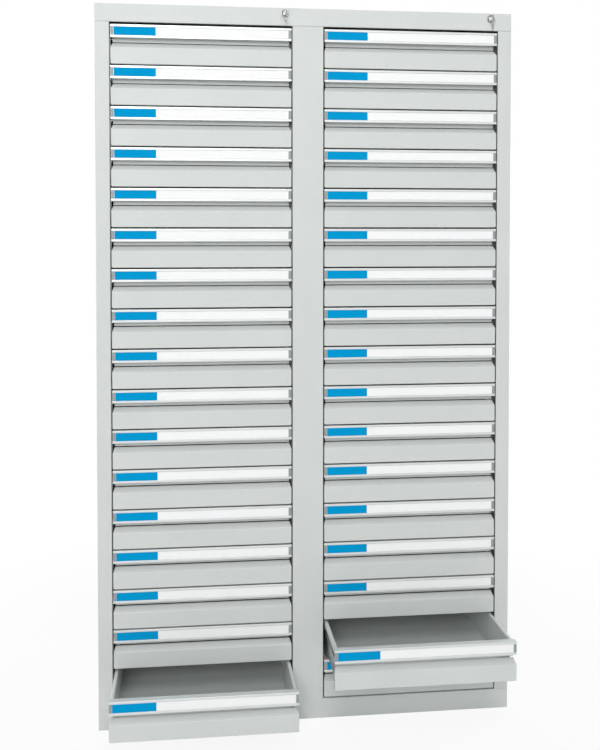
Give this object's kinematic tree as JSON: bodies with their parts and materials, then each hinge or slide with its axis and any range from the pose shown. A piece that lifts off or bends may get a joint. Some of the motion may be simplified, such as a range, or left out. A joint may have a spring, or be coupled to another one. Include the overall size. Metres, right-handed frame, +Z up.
{
  "type": "industrial drawer cabinet",
  "caption": "Tall sheet-steel cabinet with two columns of shallow label-fronted drawers on slides, each column with a central lock.",
  "frame": {"origin": "on the floor under the middle of the carcass, on the floor channel of the base", "axes": "+Z up, drawer fronts face -Y, +X to the right seen from the front"},
  "size_m": [1.05, 0.78, 1.8],
  "materials": {
    "grey_paint": "light grey powder coat, fine texture",
    "rail_aluminium": "satin anodised, pale",
    "label_card": "white card with a blue field, under clear film",
    "zinc_steel": "zinc plated",
    "lock_chrome": "chrome plated",
    "key_nickel": "nickel plated"
  },
  "bodies": {
    "carcass": {"side_panel_left": "grey_paint", "side_panel_right": "grey_paint", "centre_partition": "grey_paint", "back_panel": "grey_paint", "top_panel": "grey_paint", "base_plinth": "grey_paint", "runner_rack_left_column_left": "zinc_steel", "runner_rack_left_column_right": "zinc_steel", "runner_rack_right_column_left": "zinc_steel", "runner_rack_right_column_right": "zinc_steel", "lock_housing_left": "lock_chrome", "lock_housing_right": "lock_chrome"},
    "lock_bar_left": {"lock_bar_left": "zinc_steel"},
    "lock_plug_left": {"lock_plug_left": "lock_chrome", "lock_key_left": "key_nickel"},
    "spare_key_left": {"spare_key_left": "key_nickel"},
    "lock_bar_right": {"lock_bar_right": "zinc_steel"},
    "lock_plug_right": {"lock_plug_right": "lock_chrome", "lock_key_right": "key_nickel"},
    "spare_key_right": {"spare_key_right": "key_nickel"},
    "drawer_left_17": {"drawer_tray_left_17": "grey_paint", "drawer_front_left_17": "grey_paint", "grip_rail_left_17": "rail_aluminium", "label_strip_left_17": "label_card"},
    "drawer_right_16": {"drawer_tray_right_16": "grey_paint", "drawer_front_right_16": "grey_paint", "grip_rail_right_16": "rail_aluminium", "label_strip_right_16": "label_card"},
    "drawer_left_01": {"drawer_left_01": "grey_paint"},
    "drawer_left_02": {"drawer_left_02": "grey_paint"},
    "drawer_left_03": {"drawer_left_03": "grey_paint"},
    "drawer_left_04": {"drawer_left_04": "grey_paint"},
    "drawer_left_05": {"drawer_left_05": "grey_paint"},
    "drawer_left_06": {"drawer_left_06": "grey_paint"},
    "drawer_left_07": {"drawer_left_07": "grey_paint"},
    "drawer_left_08": {"drawer_left_08": "grey_paint"},
    "drawer_left_09": {"drawer_left_09": "grey_paint"},
    "drawer_left_10": {"drawer_left_10": "grey_paint"},
    "drawer_left_11": {"drawer_left_11": "grey_paint"},
    "drawer_left_12": {"drawer_left_12": "grey_paint"},
    "drawer_left_13": {"drawer_left_13": "grey_paint"},
    "drawer_left_14": {"drawer_left_14": "grey_paint"},
    "drawer_left_15": {"drawer_left_15": "grey_paint"},
    "drawer_left_16": {"drawer_left_16": "grey_paint"},
    "drawer_right_01": {"drawer_right_01": "grey_paint"},
    "drawer_right_02": {"drawer_right_02": "grey_paint"},
    "drawer_right_03": {"drawer_right_03": "grey_paint"},
    "drawer_right_04": {"drawer_right_04": "grey_paint"},
    "drawer_right_05": {"drawer_right_05": "grey_paint"},
    "drawer_right_06": {"drawer_right_06": "grey_paint"},
    "drawer_right_07": {"drawer_right_07": "grey_paint"},
    "drawer_right_08": {"drawer_right_08": "grey_paint"},
    "drawer_right_09": {"drawer_right_09": "grey_paint"},
    "drawer_right_10": {"drawer_right_10": "grey_paint"},
    "drawer_right_11": {"drawer_right_11": "grey_paint"},
    "drawer_right_12": {"drawer_right_12": "grey_paint"},
    "drawer_right_13": {"drawer_right_13": "grey_paint"},
    "drawer_right_14": {"drawer_right_14": "grey_paint"},
    "drawer_right_15": {"drawer_right_15": "grey_paint"},
    "drawer_right_17": {"drawer_right_17": "grey_paint"}
  },
  "joints": [
    {"name": "central_lock_left_bar", "type": "slide", "parent": "carcass", "child": "lock_bar_left", "axis": [0, 0, 1], "range_m": [0, 0.01414]},
    {"name": "central_lock_left_turn", "type": "hinge", "parent": "carcass", "child": "lock_plug_left", "pos_m": [-0.0585, -0.3, 1.786], "axis": [0, -1, 0], "range_deg": [0, 90.1]},
    {"name": "central_lock_left_spare_key_swing", "type": "hinge", "parent": "lock_plug_left", "child": "spare_key_left", "pos_m": [-0.0585, -0.318, 1.784], "axis": [-1, 0, 0], "range_deg": [-5, 60]},
    {"name": "central_lock_right_bar", "type": "slide", "parent": "carcass", "child": "lock_bar_right", "axis": [0, 0, 1], "range_m": [0, 0.01414]},
    {"name": "central_lock_right_turn", "type": "hinge", "parent": "carcass", "child": "lock_plug_right", "pos_m": [0.4705, -0.3, 1.786], "axis": [0, -1, 0], "range_deg": [0, 90.1]},
    {"name": "central_lock_right_spare_key_swing", "type": "hinge", "parent": "lock_plug_right", "child": "spare_key_right", "pos_m": [0.4705, -0.318, 1.784], "axis": [-1, 0, 0], "range_deg": [-5, 60]},
    {"name": "drawer_left_17_slide", "type": "slide", "parent": "carcass", "child": "drawer_left_17", "axis": [0, -1, 0], "range_m": [-0.168, 0.222]},
    {"name": "drawer_right_16_slide", "type": "slide", "parent": "carcass", "child": "drawer_right_16", "axis": [0, -1, 0], "range_m": [-0.18, 0.21]},
    {"name": "drawer_left_01_slide", "type": "slide", "parent": "carcass", "child": "drawer_left_01", "axis": [0, -1, 0], "range_m": [0, 0.39]},
    {"name": "drawer_left_02_slide", "type": "slide", "parent": "carcass", "child": "drawer_left_02", "axis": [0, -1, 0], "range_m": [0, 0.39]},
    {"name": "drawer_left_03_slide", "type": "slide", "parent": "carcass", "child": "drawer_left_03", "axis": [0, -1, 0], "range_m": [0, 0.39]},
    {"name": "drawer_left_04_slide", "type": "slide", "parent": "carcass", "child": "drawer_left_04", "axis": [0, -1, 0], "range_m": [0, 0.39]},
    {"name": "drawer_left_05_slide", "type": "slide", "parent": "carcass", "child": "drawer_left_05", "axis": [0, -1, 0], "range_m": [0, 0.39]},
    {"name": "drawer_left_06_slide", "type": "slide", "parent": "carcass", "child": "drawer_left_06", "axis": [0, -1, 0], "range_m": [0, 0.39]},
    {"name": "drawer_left_07_slide", "type": "slide", "parent": "carcass", "child": "drawer_left_07", "axis": [0, -1, 0], "range_m": [0, 0.39]},
    {"name": "drawer_left_08_slide", "type": "slide", "parent": "carcass", "child": "drawer_left_08", "axis": [0, -1, 0], "range_m": [0, 0.39]},
    {"name": "drawer_left_09_slide", "type": "slide", "parent": "carcass", "child": "drawer_left_09", "axis": [0, -1, 0], "range_m": [0, 0.39]},
    {"name": "drawer_left_10_slide", "type": "slide", "parent": "carcass", "child": "drawer_left_10", "axis": [0, -1, 0], "range_m": [0, 0.39]},
    {"name": "drawer_left_11_slide", "type": "slide", "parent": "carcass", "child": "drawer_left_11", "axis": [0, -1, 0], "range_m": [0, 0.39]},
    {"name": "drawer_left_12_slide", "type": "slide", "parent": "carcass", "child": "drawer_left_12", "axis": [0, -1, 0], "range_m": [0, 0.39]},
    {"name": "drawer_left_13_slide", "type": "slide", "parent": "carcass", "child": "drawer_left_13", "axis": [0, -1, 0], "range_m": [0, 0.39]},
    {"name": "drawer_left_14_slide", "type": "slide", "parent": "carcass", "child": "drawer_left_14", "axis": [0, -1, 0], "range_m": [0, 0.39]},
    {"name": "drawer_left_15_slide", "type": "slide", "parent": "carcass", "child": "drawer_left_15", "axis": [0, -1, 0], "range_m": [0, 0.39]},
    {"name": "drawer_left_16_slide", "type": "slide", "parent": "carcass", "child": "drawer_left_16", "axis": [0, -1, 0], "range_m": [0, 0.39]},
    {"name": "drawer_right_01_slide", "type": "slide", "parent": "carcass", "child": "drawer_right_01", "axis": [0, -1, 0], "range_m": [0, 0.39]},
    {"name": "drawer_right_02_slide", "type": "slide", "parent": "carcass", "child": "drawer_right_02", "axis": [0, -1, 0], "range_m": [0, 0.39]},
    {"name": "drawer_right_03_slide", "type": "slide", "parent": "carcass", "child": "drawer_right_03", "axis": [0, -1, 0], "range_m": [0, 0.39]},
    {"name": "drawer_right_04_slide", "type": "slide", "parent": "carcass", "child": "drawer_right_04", "axis": [0, -1, 0], "range_m": [0, 0.39]},
    {"name": "drawer_right_05_slide", "type": "slide", "parent": "carcass", "child": "drawer_right_05", "axis": [0, -1, 0], "range_m": [0, 0.39]},
    {"name": "drawer_right_06_slide", "type": "slide", "parent": "carcass", "child": "drawer_right_06", "axis": [0, -1, 0], "range_m": [0, 0.39]},
    {"name": "drawer_right_07_slide", "type": "slide", "parent": "carcass", "child": "drawer_right_07", "axis": [0, -1, 0], "range_m": [0, 0.39]},
    {"name": "drawer_right_08_slide", "type": "slide", "parent": "carcass", "child": "drawer_right_08", "axis": [0, -1, 0], "range_m": [0, 0.39]},
    {"name": "drawer_right_09_slide", "type": "slide", "parent": "carcass", "child": "drawer_right_09", "axis": [0, -1, 0], "range_m": [0, 0.39]},
    {"name": "drawer_right_10_slide", "type": "slide", "parent": "carcass", "child": "drawer_right_10", "axis": [0, -1, 0], "range_m": [0, 0.39]},
    {"name": "drawer_right_11_slide", "type": "slide", "parent": "carcass", "child": "drawer_right_11", "axis": [0, -1, 0], "range_m": [0, 0.39]},
    {"name": "drawer_right_12_slide", "type": "slide", "parent": "carcass", "child": "drawer_right_12", "axis": [0, -1, 0], "range_m": [0, 0.39]},
    {"name": "drawer_right_13_slide", "type": "slide", "parent": "carcass", "child": "drawer_right_13", "axis": [0, -1, 0], "range_m": [0, 0.39]},
    {"name": "drawer_right_14_slide", "type": "slide", "parent": "carcass", "child": "drawer_right_14", "axis": [0, -1, 0], "range_m": [0, 0.39]},
    {"name": "drawer_right_15_slide", "type": "slide", "parent": "carcass", "child": "drawer_right_15", "axis": [0, -1, 0], "range_m": [0, 0.39]},
    {"name": "drawer_right_17_slide", "type": "slide", "parent": "carcass", "child": "drawer_right_17", "axis": [0, -1, 0], "range_m": [0, 0.39]}
  ],
  "couplings": [
    {"joint": "central_lock_left_turn", "follows": "central_lock_left_bar", "rad_per_m": 111.07},
    {"joint": "central_lock_right_turn", "follows": "central_lock_right_bar", "rad_per_m": 111.07}
  ]
}
